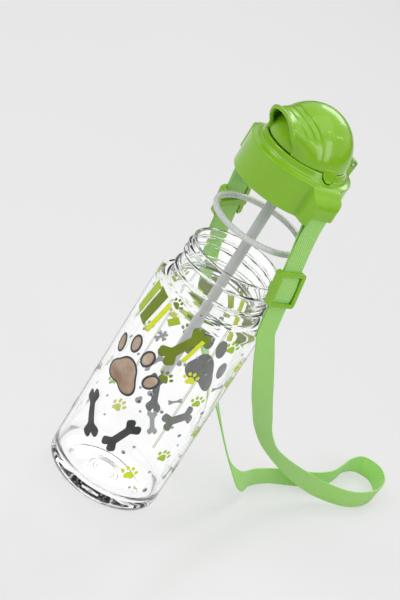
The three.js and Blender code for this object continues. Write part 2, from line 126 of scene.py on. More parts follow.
LEFT_RUN = [
    (-43.8, 17.9, 150.3, 0, 1, 0.32), (-44.8, 19.5, 145.3, 0, 1, 0.32), (-45.7, 21.5, 138.5, 0, 1, 0.3),
    (-44.3, 23.8, 130, 0, 1, 0.2), (-40.4, 27.5, 117, -0.2, 1, 0.1),
    (-34.5, 33, 102, -0.4, 1, 0.1), (-27, 40.5, 86, -0.7, 1, 0.1), (-19, 49, 71, -1, 0.8, 0.1),
    (-11.5, 58, 57, -1, 0.6, 0.1), (-4.5, 67, 43, -1, 0.4, 0.1), (1.5, 76, 30, -1, 0.2, 0.2),
    (4.5, 86.5, 18.5, -1, 0, 0.4), (3.6, 99, 10.5, -0.8, 0, 0.8), (-2, 110, 7.2, -0.4, 0, 1),
]
HANGERS = (
    ("right", 1, Vector((0.16, 0.065, -1)).normalized()),
    ("left", -1, Vector((-0.162, 0.32, -1)).normalized()),
)


# ---- camera ----
def make_camera():
    target = Vector((0, 0, 0.11))
    distance = 1.32
    azimuth, elevation, roll = math.radians(45), math.radians(24.83), math.radians(32.4)
    aim_right, aim_up = 0.0036, 0.0151
    back = Vector((
        math.sin(azimuth) * math.cos(elevation),
        -math.cos(azimuth) * math.cos(elevation),
        math.sin(elevation),
    ))
    level = back.to_track_quat("Z", "Y") @ Quaternion((0, 0, 1), roll)
    right, up = level @ Vector((1, 0, 0)), level @ Vector((0, 1, 0))
    location = target + back * distance
    aim = target + right * aim_right + up * aim_up
    data = bpy.data.cameras.new("camera")
    data.sensor_fit = "VERTICAL"
    data.sensor_height = 36
    data.lens = 143.8
    camera = bpy.data.objects.new("camera", data)
    camera.location = location
    camera.rotation_mode = "QUATERNION"
    turn = back.rotation_difference(location - aim)
    camera.rotation_quaternion = turn @ level
    bpy.context.scene.collection.objects.link(camera)
    bpy.context.scene.camera = camera


# ---- material helpers ----
def new_material(name, **sockets):
    material = bpy.data.materials.new(name)
    material.use_nodes = True
    for socket, value in sockets.items():
        shader_of(material).inputs[socket.replace("_", " ")].default_value = value
    return material


def shader_of(material):
    return material.node_tree.nodes["Principled BSDF"]


def node(material, kind, **inputs):
    made = material.node_tree.nodes.new("ShaderNode" + kind)
    for socket, value in inputs.items():
        target = made.inputs[socket.replace("_", " ")]
        if isinstance(value, bpy.types.NodeSocket):
            material.node_tree.links.new(value, target)
        else:
            target.default_value = value
    return made


def place_on(material, output="Object", stretch=(1, 1, 1)):
    where = node(material, "TexCoord").outputs[output]
    return node(material, "Mapping", Vector=where, Scale=stretch).outputs["Vector"]


def noise(material, scale, detail=3, output="Object", stretch=(1, 1, 1)):
    where = place_on(material, output, stretch)
    return node(material, "TexNoise", Vector=where, Scale=scale, Detail=detail).outputs["Fac"]


def spread(material, factor, lowest, highest, start=0.3, end=0.7):
    ranged = node(material, "MapRange", Value=factor, From_Min=start, From_Max=end,
                  To_Min=lowest, To_Max=highest)
    return ranged.outputs["Result"]


def mixed_colour(material, factor, colour_a, colour_b):
    mix = material.node_tree.nodes.new("ShaderNodeMix")
    mix.data_type = "RGBA"
    sockets = [s for s in mix.inputs if s.type == "RGBA"]
    material.node_tree.links.new(factor, mix.inputs["Factor"])
    for socket, colour in zip(sockets, (colour_a, colour_b)):
        if isinstance(colour, bpy.types.NodeSocket):
            material.node_tree.links.new(colour, socket)
        else:
            socket.default_value = (*colour, 1)
    return next(s for s in mix.outputs if s.type == "RGBA")


def math_node(material, operation, a, b):
    made = material.node_tree.nodes.new("ShaderNodeMath")
    made.operation = operation
    for socket, value in zip(made.inputs, (a, b)):
        if isinstance(value, bpy.types.NodeSocket):
            material.node_tree.links.new(value, socket)
        else:
            socket.default_value = value
    return made.outputs["Value"]


def drive(material, socket, output):
    material.node_tree.links.new(output, shader_of(material).inputs[socket])


def roughen(material, height, distance, strength=1.0):
    bump = node(material, "Bump", Height=height, Strength=strength, Distance=distance)
    drive(material, "Normal", bump.outputs["Normal"])


# ---- materials ----
def green_plastic():
    material = new_material("green_plastic", IOR=1.5, Coat_Weight=0.35, Coat_Roughness=0.06)
    cloud = spread(material, noise(material, 45), 0, 1)
    body = mixed_colour(material, cloud, (0.235, 0.52, 0.006), (0.27, 0.57, 0.01))
    pointiness = node(material, "NewGeometry").outputs["Pointiness"]
    # Painted shade: concave creases, gaps and grooves (low pointiness) are darkened towards a deep green.
    painted_crease_shade = spread(material, pointiness, 1, 0, 0.40, 0.48)
    shaded = mixed_colour(material, painted_crease_shade, body, (0.05, 0.14, 0.002))
    # Painted highlight: convex edges (high pointiness) are lightened towards a pale green, standing in for
    # bright edge highlights.
    edge = spread(material, pointiness, 0, 0.7, 0.53, 0.62)
    drive(material, "Base Color", mixed_colour(material, edge, shaded, (0.50, 0.80, 0.16)))
    drive(material, "Roughness", spread(material, noise(material, 300), 0.16, 0.26))
    roughen(material, noise(material, 1400, 4), 0.00003, 0.25)
    return material


def webbing():
    material = new_material("webbing", Sheen_Weight=0.25, Sheen_Roughness=0.5, Specular_IOR_Level=0.25)
    ribs = []
    for slant in (1, -1):
        where = place_on(material, "UV", (1, slant, 1))
        wave = node(material, "TexWave", Vector=where, Scale=0.42, Distortion=0.6, Detail_Scale=1.5)
        wave.bands_direction = "DIAGONAL"
        ribs.append(wave.outputs["Fac"])
    weave = math_node(material, "MAXIMUM", *ribs)
    yarn = spread(material, noise(material, 2.2, 2, "UV", (1, 0.25, 1)), 0, 1)
    thread = mixed_colour(material, yarn, (0.42, 0.80, 0.20), (0.49, 0.88, 0.25))
    # Painted shade: the hollows between the weave's ribs take the darker green; the yarn's own tone also
    # varies along the strap.
    shade = spread(material, weave, 0, 1, 0.2, 0.95)
    drive(material, "Base Color", mixed_colour(material, shade, (0.30, 0.63, 0.13), thread))
    drive(material, "Roughness", spread(material, weave, 0.95, 0.75))
    roughen(material, weave, 0.00025, 0.7)
    return material


def let_light_through(material):
    """Rays from lamps pass the clear wall, so that it throws only a faint shadow."""
    tree = material.node_tree
    clear = tree.nodes.new("ShaderNodeBsdfTransparent")
    path = tree.nodes.new("ShaderNodeLightPath")
    mix = tree.nodes.new("ShaderNodeMixShader")
    output = tree.nodes["Material Output"]
    tree.links.new(path.outputs["Is Shadow Ray"], mix.inputs["Fac"])
    tree.links.new(shader_of(material).outputs["BSDF"], mix.inputs[1])
    tree.links.new(clear.outputs["BSDF"], mix.inputs[2])
    tree.links.new(mix.outputs["Shader"], output.inputs["Surface"])


def clear_plastic():
    material = new_material("clear_plastic", IOR=1.46, Transmission_Weight=1.0)
    drive(material, "Base Color", mixed_colour(
        material, spread(material, noise(material, 30), 0, 1), (0.985, 0.99, 0.988), (1, 1, 1)))
    drive(material, "Roughness", spread(material, noise(material, 120), 0.0, 0.02))
    roughen(material, noise(material, 25, 2), 0.0004, 0.12)
    let_light_through(material)
    return material


def silicone(name, transmission, colour):
    material = new_material(name, IOR=1.42, Transmission_Weight=transmission)
    cloud = spread(material, noise(material, 90), 0, 1)
    drive(material, "Base Color", mixed_colour(material, cloud, colour, [c * 1.08 for c in colour]))
    drive(material, "Roughness", spread(material, noise(material, 500), 0.22, 0.38))
    roughen(material, noise(material, 1100, 2), 0.00003, 0.4)
    return material


def straw_plastic():
    material = new_material("straw_plastic", IOR=1.47)
    streak = spread(material, noise(material, 260, 3, stretch=(1, 1, 0.03)), 0, 1)
    drive(material, "Base Color", mixed_colour(material, streak, (0.62, 0.63, 0.63), (0.72, 0.73, 0.73)))
    drive(material, "Roughness", spread(material, streak, 0.34, 0.48))
    roughen(material, streak, 0.00004, 0.35)
    return material


def steel():
    material = new_material("steel", Metallic=1.0)
    grain = spread(material, noise(material, 900, 3, stretch=(1, 0.05, 1)), 0, 1)
    drive(material, "Base Color", mixed_colour(material, grain, (0.50, 0.51, 0.52), (0.66, 0.67, 0.68)))
    drive(material, "Roughness", spread(material, grain, 0.22, 0.38))
    roughen(material, grain, 0.00003, 0.3)
    return material


def ink(name, colour_a, colour_b):
    """Screen-printed ink, clouded from one colour to another, with a fine grain."""
    material = new_material(name)
    cloud = spread(material, noise(material, 70), 0, 1)
    drive(material, "Base Color", mixed_colour(material, cloud, colour_a, colour_b))
    drive(material, "Roughness", spread(material, noise(material, 800), 0.3, 0.45))
    roughen(material, noise(material, 2500, 2), 0.00002, 0.3)
    return material


# ---- mesh helpers ----
def add_mesh(name, points, faces, material=None, sharp=35):
    mesh = bpy.data.meshes.new(name)
    mesh.from_pydata([Vector(p) * MM for p in points], [], faces)
    work = bmesh.new()
    work.from_mesh(mesh)
    bmesh.ops.recalc_face_normals(work, faces=work.faces)
    work.to_mesh(mesh)
    work.free()
    made = bpy.data.objects.new(name, mesh)
    bpy.context.scene.collection.objects.link(made)
    if material:
        mesh.materials.append(material)
    shade(made, sharp)
    return made


def shade(made, sharp=35):
    made.data.shade_smooth()
    made.data.set_sharp_from_angle(angle=math.radians(sharp))


def put(made, body, slot, *nodes):
    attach(made, body)
    if nodes:
        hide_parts(*nodes)
    return made


def rounded(corners, closed=True, steps=4):
    """An outline of (x, y) or (x, y, reach) corners, rounded where a reach is given."""
    line = []
    count = len(corners)
    for i, corner in enumerate(corners):
        here = Vector(corner[:2])
        inside = closed or 0 < i < count - 1
        if len(corner) < 3 or not inside:
            line.append(here)
            continue
        before = Vector(corners[i - 1][:2]) - here
        after = Vector(corners[(i + 1) % count][:2]) - here
        reach = min(corner[2], 0.48 * before.length, 0.48 * after.length)
        start = here + before.normalized() * reach
        end = here + after.normalized() * reach
        for k in range(steps + 1):
            t = k / steps
            line.append(start.lerp(here, t).lerp(here.lerp(end, t), t))
    return line


def arc(x, y, radius, start, end, steps):
    turns = [math.radians(start + (end - start) * i / steps) for i in range(steps + 1)]
    return [(x + radius * math.cos(a), y + radius * math.sin(a)) for a in turns]


def turned(name, profile, material=None, segments=144, closed=True, lift=None, base_z=0.0, y=0.0):
    """A lathe about Z. An open profile starts and ends on the axis. lift(angle, r, z) adds to r."""
    points = []
    rings = []
    for r, z in profile:
        if r < 1e-6:
            rings.append([len(points)] * segments)
            points.append((0, y, z + base_z))
            continue
        rings.append(list(range(len(points), len(points) + segments)))
        for k in range(segments):
            angle = math.tau * k / segments
            radius = r + (lift(angle, r, z) if lift else 0)
            points.append((radius * math.cos(angle), y + radius * math.sin(angle), z + base_z))
    faces = []
    spans = list(zip(rings, rings[1:] + rings[:1])) if closed else list(zip(rings, rings[1:]))
    for ring, following in spans:
        for k in range(segments):
            loop = [ring[k], ring[(k + 1) % segments], following[(k + 1) % segments], following[k]]
            face = list(dict.fromkeys(loop))
            if len(face) > 2:
                faces.append(face)
    return add_mesh(name, points, faces, material)


def prism(name, outline, start, end, axis="z"):
    """An outline pushed along an axis: its plane is xy for z, yz for x and xz for y."""
    lay = {
        "z": lambda a, b, c: (a, b, c),
        "x": lambda a, b, c: (c, a, b),
        "y": lambda a, b, c: (a, c, b),
    }[axis]
    count = len(outline)
    points = [lay(p[0], p[1], c) for c in (start, end) for p in outline]
    faces = [list(range(count)), list(range(count, 2 * count))]
    faces += [[i, (i + 1) % count, count + (i + 1) % count, count + i] for i in range(count)]
    return add_mesh(name, points, faces)


def oblong(half_width, start, end):
    return [(-half_width, start), (half_width, start), (half_width, end), (-half_width, end)]


def rod(name, radius, start, end, a, b, axis="x", segments=32):
    circle = arc(a, b, radius, 0, 360 - 360 / segments, segments - 1)
    return prism(name, circle, start, end, axis)


def dome(name, radius, height, z, segments=128, rings=64):
    """A whole ellipsoid about Z, of which only the upper half is kept later."""
    half = [(math.sin(math.pi * i / rings), -math.cos(math.pi * i / rings)) for i in range(rings + 1)]
    half[0], half[-1] = (0, -1), (0, 1)
    made = turned(name, half, segments=segments, closed=False)
    for vertex in made.data.vertices:
        unit = vertex.co / MM
        vertex.co = Vector((unit.x * radius, unit.y * radius, unit.z * height + z)) * MM
    return made


def curve_through(stations, per_span):
    """Centripetal Catmull-Rom line through stations; the first three values set the spacing."""
    stations = [Vector(s) for s in stations]
    ends = [2 * stations[0] - stations[1]] + stations + [2 * stations[-1] - stations[-2]]
    line = []
    for a, b, c, d in zip(ends, ends[1:], ends[2:], ends[3:]):
        gaps = [max((q.xyz - p.xyz).length ** 0.5, 1e-4) for p, q in ((a, b), (b, c), (c, d))]
        t1, t2, t3 = gaps[0], gaps[0] + gaps[1], sum(gaps)
        for k in range(per_span):
            t = t1 + (t2 - t1) * k / per_span
            ab = a.lerp(b, t / t1)
            bc = b.lerp(c, (t - t1) / (t2 - t1))
            cd = c.lerp(d, (t - t2) / (t3 - t2))
            abc = ab.lerp(bc, t / t2)
            bcd = bc.lerp(cd, (t - t1) / (t3 - t1))
            line.append(abc.lerp(bcd, (t - t1) / (t2 - t1)))
    return line + [stations[-1]]


def sweep(name, centres, acrosses, section, material=None):
    """A closed section carried along centres, with its x axis kept near acrosses. UVs are in mm."""
    points = []
    count = len(section)
    travelled = [0.0]
    for before, here in zip(centres, centres[1:]):
        travelled.append(travelled[-1] + (here - before).length)
    around = [0.0]
    for i in range(count):
        around.append(around[-1] + (Vector(section[(i + 1) % count]) - Vector(section[i])).length)
    for i, centre in enumerate(centres):
        ahead = centres[min(i + 1, len(centres) - 1)] - centres[max(i - 1, 0)]
        ahead.normalize()
        across = acrosses[i] - ahead * acrosses[i].dot(ahead)
        across.normalize()
        outward = ahead.cross(across)
        points += [centre + across * x + outward * y for x, y in section]
    faces = []
    uvs = []
    for i in range(len(centres) - 1):
        for k in range(count):
            after = (k + 1) % count
            faces.append([i * count + k, i * count + after, (i + 1) * count + after, (i + 1) * count + k])
            uvs += [(around[k], travelled[i]), (around[k + 1], travelled[i]),
                    (around[k + 1], travelled[i + 1]), (around[k], travelled[i + 1])]
    last = (len(centres) - 1) * count
    faces.append(list(range(count)))
    faces.append([last + k for k in range(count)])
    uvs += [tuple(section[k]) for k in range(count)] * 2
    made = add_mesh(name, points, faces, material, sharp=50)
    layer = made.data.uv_layers.new(name="along")
    first = 0
    for face, polygon in zip(faces, made.data.polygons):
        for loop in polygon.loop_indices:
            corner = face.index(made.data.loops[loop].vertex_index)
            layer.data[loop].uv = uvs[first + corner]
        first += len(face)
    return made


def webbing_section(width=STRAP_WIDTH, thickness=STRAP_THICK):
    x, y = width / 2, thickness / 2
    return [tuple(p) for p in rounded([(-x, -y, 0.5), (x, -y, 0.5), (x, y, 0.5), (-x, y, 0.5)], steps=3)]


def round_section(radius, sides=12):
    return arc(0, 0, radius, 0, 360 - 360 / sides, sides - 1)


def applied(made):
    """The object's mesh with its modifiers made real."""
    graph = bpy.context.evaluated_depsgraph_get()
    graph.update()
    mesh = bpy.data.meshes.new_from_object(made.evaluated_get(graph))
    made.modifiers.clear()
    made.data = mesh


def join(base, other, operation="UNION"):
    """Adds, cuts or keeps what is common, and removes the other object."""
    modifier = base.modifiers.new("boolean", "BOOLEAN")
    modifier.operation = operation
    modifier.solver = "MANIFOLD"
    modifier.object = other
    applied(base)
    bpy.data.objects.remove(other)
    return base


def cut(base, *others):
    for other in others:
        join(base, other, "DIFFERENCE")
    return base


def moulded(made, voxel, material, passes=4):
    """Rounds every edge a little, as a mould does, by an even remesh and a light smooth."""
    remesh = made.modifiers.new("remesh", "REMESH")
    remesh.mode = "VOXEL"
    remesh.voxel_size = voxel * MM
    soften = made.modifiers.new("soften", "SMOOTH")
    soften.factor = 0.5
    soften.iterations = passes
    applied(made)
    made.data.materials.clear()
    made.data.materials.append(material)
    shade(made, 50)
    return made


# ---- strap ----
def make_strap(cloth, plastic, metal):
    hanging = []
    ends = {}
    for side, sign, drop in HANGERS:
        loop, end = strap_loop(side, sign, drop, cloth)
        ends[side] = end
        slider, hump = strap_slider(side, sign, drop, plastic, cloth)
        hanging += [loop, slider, hump]
        pin = rod(f"pin_{side}", 0.8, -7.3, EAR_HALF - 0.6, sign * PIN_X, PIN_Z, "y")
        pin.data.materials.append(metal)
        put(pin, "cap", "steel", f"strap_pin_{side}")
    stations = [(*ends["right"], 0, 1, 0)] + RIGHT_RUN[1:-1] + FLOOR_LOOP
    stations += LEFT_RUN[-2:0:-1] + [(*ends["left"], 0, 1, 0)]
    stations = keep_across(stations)
    line = curve_through(stations, 9)
    centres = [Vector(p[:3]) for p in line]
    acrosses = [Vector(p[3:6]) for p in line]
    strap = sweep("strap", centres, acrosses, webbing_section(), cloth)
    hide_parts("strap_run_right", "strap_floor_loop", "strap_run_left")
    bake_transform(strap)


def keep_across(stations):
    """Turns each across direction the nearer way round, so that the webbing never flips."""
    kept = [stations[0]]
    for station in stations[1:]:
        if Vector(station[3:6]).dot(Vector(kept[-1][3:6])) < 0:
            station = (*station[:3], *(-value for value in station[3:6]))
        kept.append(station)
    return kept


def strap_loop(side, sign, drop, cloth):
    """The strap's end: up through the ear, round the pin and back down beside itself."""
    out = Vector((sign, 0, 0))
    start = Vector((sign * PIN_X, 0, HANG_Z))

    def down(distance, offset):
        return start + drop * distance + out * offset

    def level(z, offset):
        return Vector((sign * PIN_X, 0, z)) + out * offset

    bend = 1.6
    stations = [down(d, -LAYER_GAP) for d in (TAIL_DOWN, 48, SLIDER_DOWN, 26, 15)]
    stations += [down(6, -LAYER_GAP - 0.4), level(HANG_Z + 3, 0.1 - bend), level(PIN_Z - 3, -bend)]
    stations += [level(PIN_Z + z, x) for x, z in arc(0, 0, bend, 180, 0, 6)]
    stations += [level(PIN_Z - 3, bend), level(HANG_Z + 3, bend - 0.1), down(6, LAYER_GAP + 0.4)]
    stations += [down(d, LAYER_GAP) for d in (15, 26, SLIDER_DOWN, 48, LOOP_DOWN)]
    line = curve_through(stations, 6)
    loop = sweep(f"loop_{side}", line, [Vector((0, 1, 0))] * len(line), webbing_section(), cloth)
    put(loop, "cap", "webbing", f"strap_loop_{side}")
    return loop, line[-1]


def strap_slider(side, sign, drop, plastic, cloth):
    """A ladder-lock slider, with the hump of webbing that it lifts over its middle bar."""
    half_w, half_h, bar, slot_half = 9, 10.5, 2.5, 6.5
    front = LAYER_GAP + STRAP_THICK / 2 + 0.3
    deep = front + 1.4
    inner = half_h - bar
    frame_outline = rounded([(-half_w, -half_h, 2.6), (half_w, -half_h, 2.6),
                             (half_w, half_h, 2.6), (-half_w, half_h, 2.6)], steps=6)
    slider = prism(f"buckle_{side}", frame_outline, -deep, deep)
    past = 20
    cut(slider, prism("window", oblong(slot_half, -inner, inner), -front, 9))
    cut(slider, prism("passage", oblong(slot_half, -past, past), -front, front))
    for low_y, high_y in ((bar, past), (-past, -bar)):
        cut(slider, prism("back", oblong(past, low_y, high_y), -9, -front - 0.35))
        cut(slider, prism("back", oblong(slot_half, low_y, high_y), -9, -front + 0.01))
    moulded(slider, 0.22, plastic, 3)
    up = -drop
    facing = (Vector((sign, 0, 0)) - up * up.x * sign).normalized()
    across = up.cross(facing)
    middle = Vector((sign * PIN_X, 0, HANG_Z)) + drop * SLIDER_DOWN
    for vertex in slider.data.vertices:
        x, y, z = vertex.co / MM
        vertex.co = (middle + across * x + up * y + facing * z) * MM
    rise = 0.95
    steps = 24
    line = []
    for i in range(steps + 1):
        t = 2 * i / steps - 1
        lift = LAYER_GAP + rise * math.cos(t * math.pi / 2) ** 0.8 + 0.02
        line.append(middle + up * t * (inner + 0.9) + facing * lift)
    hump = sweep(f"hump_{side}", line, [across] * len(line), webbing_section(STRAP_WIDTH - 0.1, 0.9), cloth)
    put(slider, f"slider_{side}", "green_plastic", f"slider_{side}")
    put(hump, f"slider_{side}", "webbing")
    return slider, hump


# ---- bottle ----
def thread_lift(angle, r, z):
    """Height of the neck's thread ridge: one helix of 1.8 turns, fading out at both ends."""
    if abs(r - NECK_R) > 0.05:
        return 0
    first, last, pitch = LIP_Z - 13.2, LIP_Z - 4, 5.1
    best = 0
    for turn in range(3):
        crest = first + pitch * (angle / math.tau + turn)
        fade = min(1, (crest - first + 0.01) / 0.8, max(0, last - crest) / 0.8)
        ridge = max(0, 1 - ((z - crest) / 0.95) ** 2)
        best = max(best, 1.1 * fade * ridge ** 0.7)
    return best


def make_bottle(clear):
    inner = BODY_R - BODY_WALL
    floor_z = 6.6
    neck_low, neck_high = LIP_Z - 17, LIP_Z - 1.2
    steps = 44
    neck = [(NECK_R, neck_low + (neck_high - neck_low) * i / steps) for i in range(steps + 1)]
    outline = rounded([(0, 3.2), (4.6, 3.2, 0.3), (5, 2.6, 0.3), (6.4, 2.6, 0.3), (6.8, 3.2, 0.3),
                       (8.8, 3.2, 0.4), (9.6, 2.4, 0.4), (20, 1.6, 1.5), (23.2, 0, 0.8),
                       (27, 0, 1.2)], closed=False)
    outline += arc(26.5, 7.5, 7.5, -66, 0, 12)
    outline += arc(BODY_R - 4.6, SHOULDER_Z, 4.6, 0, 78, 10)
    outline += rounded([(29, SHOULDER_Z + 4.8), (28, SHOULDER_Z + 5.4, 0.5), (27.1, SHOULDER_Z + 7.2, 0.8),
                        (27.2, SHOULDER_Z + 10, 0.2), (28.5, SHOULDER_Z + 10.5, 0.4),
                        (28.5, SHOULDER_Z + 12, 0.4), (27, SHOULDER_Z + 12.6, 0.3), neck[0]], closed=False)
    outline += neck
    outline += rounded([neck[-1], (26.8, LIP_Z, 0.7), (NECK_BORE_R, LIP_Z, 0.7),
                        (NECK_BORE_R, SHOULDER_Z + 8, 3), (25.5, SHOULDER_Z + 5.2, 1.4),
                        (28.4, SHOULDER_Z + 2.4)], closed=False)[1:]
    outline += arc(inner - 5, SHOULDER_Z - 3.5, 5, 50, 0, 8)
    outline += arc(inner - 8, floor_z + 8, 8, 0, -84, 12)
    outline += [(16, floor_z - 0.25), (0, floor_z)]
    bottle = turned("clear_bottle", outline, clear, segments=240, closed=False, lift=thread_lift)
    put(bottle, "bottle", "clear_body", "bottle_body")


# ---- printed decoration ----
def disc(cx, cy, rx, ry=None, turn=0.0, shape=None):
    """A filled outline round a centre, in rings fine enough to follow the wall."""
    ry = ry or rx
    rings = max(2, math.ceil(max(rx, ry) / 1.4))
    sides = max(20, 8 * rings)
    c, s = math.cos(math.radians(turn)), math.sin(math.radians(turn))
    points = [(cx, cy)]
    for ring in range(1, rings + 1):
        for k in range(sides):
            angle = math.tau * k / sides
            reach = ring / rings * (shape(angle) if shape else 1)
            x, y = rx * reach * math.cos(angle), ry * reach * math.sin(angle)
            points.append((cx + x * c - y * s, cy + x * s + y * c))
    faces = [[0, 1 + k, 1 + (k + 1) % sides] for k in range(sides)]
    for ring in range(rings - 1):
        a, b = 1 + ring * sides, 1 + (ring + 1) * sides
        faces += [[a + k, b + k, b + (k + 1) % sides, a + (k + 1) % sides] for k in range(sides)]
    return points, faces


def strip(length, half_width, half_steps=6, end=None):
    """A band along x whose half width, and whose end line, may vary."""
    points = []
    faces = []
    along = max(4, math.ceil(length / 1.2))
    for i in range(along + 1):
        s = 2 * i / along - 1
        for k in range(-half_steps, half_steps + 1):
            v = k / half_steps
            stretch = length / 2 + (end(v) if end else 0) * abs(s) ** 3
            points.append((s * stretch, v * half_width(s)))
    width = 2 * half_steps + 1
    for i in range(along):
        faces += [[i * width + k, i * width + k + 1, (i + 1) * width + k + 1, (i + 1) * width + k]
                  for k in range(width - 1)]
    return points, faces


def pad_shape(angle):
    """Outline of a paw's main pad: three soft lobes, dented below."""
    lean = angle - math.pi / 2
    return 0.9 + 0.13 * math.cos(3 * lean) - 0.16 * math.exp(-((lean - math.pi) / 0.45) ** 2)


def paw(size, grow=0.0):
    """A paw print of five pads, size wide."""
    k = size / 9
    pads = [disc(0, -0.8 * k, 3 * k + grow, 2.6 * k + grow, shape=pad_shape)]
    for x, y, tilt in ((-3.6, 1.5, 24), (-1.35, 3.6, 8), (1.35, 3.6, -8), (3.6, 1.5, -24)):
        pads.append(disc(x * k, y * k, 0.95 * k + grow, 1.35 * k + grow, turn=tilt))
    return pads


def bone(length):
    knob, waist = length * 0.2, length * 0.085

    def half_width(s):
        swell = max(0.0, (abs(s) - 0.5) / 0.5)
        return waist + (knob - waist) * math.sin(swell * math.pi * 0.62) ** 1.5

    return [strip(length * 0.8, half_width, end=lambda v: length * 0.1 * math.sin(math.pi * abs(v)) ** 0.8)]


def blot(radius):
    return [disc(0, 0, radius)]


def bar(length, width):
    return [strip(length, lambda s: width / 2, max(1, math.ceil(width / 2.4)))]


class Print:
    """Shapes of one ink, gathered and wrapped on the bottle's wall as a thin film."""

    def __init__(self, name, material, lift):
        self.name, self.material, self.lift = name, material, lift
        self.points, self.faces = [], []

    def stamp(self, shapes, angle, z, turn=0.0):
        """Angle is measured from the front, positive towards +X; turn is in the wall's plane."""
        c, s = math.cos(math.radians(turn)), math.sin(math.radians(turn))
        radius = BODY_R + self.lift
        for points, faces in shapes:
            first = len(self.points)
            for x, y in points:
                around = math.radians(angle) + (x * c - y * s) / radius
                height = z + x * s + y * c
                self.points.append((radius * math.sin(around), -radius * math.cos(around), height))
            self.faces += [[first + corner for corner in face] for face in faces]

    def finish(self):
        """Makes the film, with every face turned outward before it is given its thickness."""
        film = add_mesh(self.name, self.points, self.faces, self.material)
        work = bmesh.new()
        work.from_mesh(film.data)
        for face in work.faces:
            outward = face.calc_center_median()
            if face.normal.xy.dot(outward.xy) < 0:
                face.normal_flip()
        work.to_mesh(film.data)
        work.free()
        thickness = film.modifiers.new("film", "SOLIDIFY")
        thickness.thickness = 0.04 * MM
        thickness.offset = 1
        put(film, "bottle", None)


def make_print():
    inks = {
        "lime": ink("ink_lime", (0.42, 0.62, 0.01), (0.50, 0.70, 0.02)),
        "olive": ink("ink_olive", (0.17, 0.24, 0.0), (0.22, 0.32, 0.0)),
        "yellow": ink("ink_yellow", (0.80, 0.90, 0.01), (0.88, 0.95, 0.04)),
        "grey": ink("ink_grey", (0.36, 0.37, 0.38), (0.46, 0.47, 0.48)),
        "charcoal": ink("ink_charcoal", (0.025, 0.027, 0.03), (0.09, 0.09, 0.10)),
        "tan": ink("ink_tan", (0.36, 0.22, 0.14), (0.76, 0.60, 0.46)),
    }
    lifts = {"tan": 0.14, "yellow": 0.1}
    prints = {name: Print(f"print_{name}", inks[name], lifts.get(name, 0.06)) for name in inks}
    for back in (0, 180):
        small_motifs(prints, back)
    for back in (0, 180):
        large_motifs(prints, back)
    for layer in prints.values():
        layer.finish()


def small_motifs(prints, back):
    paws = (
        ("lime", 89, 122.5, 9, -8), ("yellow", 69, 97, 9, 12), ("olive", 48, 91, 8.4, -14),
        ("lime", 89, 84, 8.6, 6), ("lime", 90, 44.5, 9, -10), ("yellow", 68, 28, 9.6, 14),
        ("lime", -28, 134, 8, 10), ("olive", 21, 130.5, 7, -20), ("lime", 120, 60, 8.4, 16),
        ("yellow", 118, 108, 8.6, -6), ("olive", -46, 30, 8.4, 12), ("lime", -58, 96, 8.6, -12),
    )
    for name, angle, z, size, turn in paws:
        prints[name].stamp(paw(size), angle + back, z, turn)
    bones = (("grey", 24, 110, 9, 62), ("grey", 68, 81, 8, 35), ("grey", 60, 63.5, 15, -62),
             ("grey", 103, 95, 8, 20), ("grey", -38, 60, 12, 40), ("grey", 112, 32, 9, 75))
    for name, angle, z, length, turn in bones:
        prints[name].stamp(bone(length), angle + back, z, turn)
    dots = (
        (44, 78.5, 1.7), (38, 71, 1.9), (45, 66, 0.8), (93, 60.5, 1.2), (99, 53.5, 0.8), (94, 20, 1.6),
        (86, 33, 0.9), (62, 72, 1.1), (57, 104, 1.0), (63, 111, 0.8), (75, 112, 1.2), (80, 103, 0.8),
        (52, 127, 1.1), (45, 134, 0.8), (66, 125, 1.3), (58, 45, 0.9), (52, 39, 1.2), (80, 65, 1.0),
        (104, 77, 1.3), (108, 119, 0.9), (-20, 126, 1.0), (-52, 112, 1.4), (-64, 44, 1.1), (76, 20, 0.8),
    )
    for angle, z, radius in dots:
        prints["grey"].stamp(blot(radius), angle + back, z)
        if radius > 1:
            prints["charcoal"].stamp(blot(radius * 0.42), angle + back + 1.0, z - 0.2)


def large_motifs(prints, back):
    paw_angle, paw_z = 12, 80
    prints["charcoal"].stamp(paw(38), paw_angle + back, paw_z, -8)
    prints["tan"].stamp(paw(38, -1.3), paw_angle + back, paw_z, -8)
    prints["olive"].stamp(bone(31), 47 + back, 113, 62)
    prints["yellow"].stamp(bar(17, 2.4), 56.5 + back, 113, 76)
    stripes = (("lime", -14, 120, 22, 6), ("olive", -1, 119, 24, 7), ("yellow", 11.5, 117, 22, 3.2))
    for name, angle, z, length, width in stripes:
        prints[name].stamp(bar(length, width), angle + back, z, 78)
    prints["lime"].stamp(bar(7.5, 4), 27 + back, 121.5, 50)
    prints["charcoal"].stamp(bone(27), 4 + back, 45, -52)
    prints["charcoal"].stamp(bone(25), 42 + back, 47, 68)
    for angle in (73.6, 75.2):
        prints["olive"].stamp(bar(86, 0.3), angle + back, 92, 90)


# ---- rings and drinking parts ----
def make_seal(soft):
    half, tall, middle = 1.65, 1.46, 26.45
    section = rounded([(middle - half, -tall, 1.1), (middle + half, -tall, 1.1),
                       (middle + half, tall, 1.1), (middle - half, tall, 1.1)], steps=5)
    ring = turned("silicone_ring", section, soft, segments=180, base_z=SEAL_MID_Z)
    put(ring, "seal", "silicone", "seal_ring")


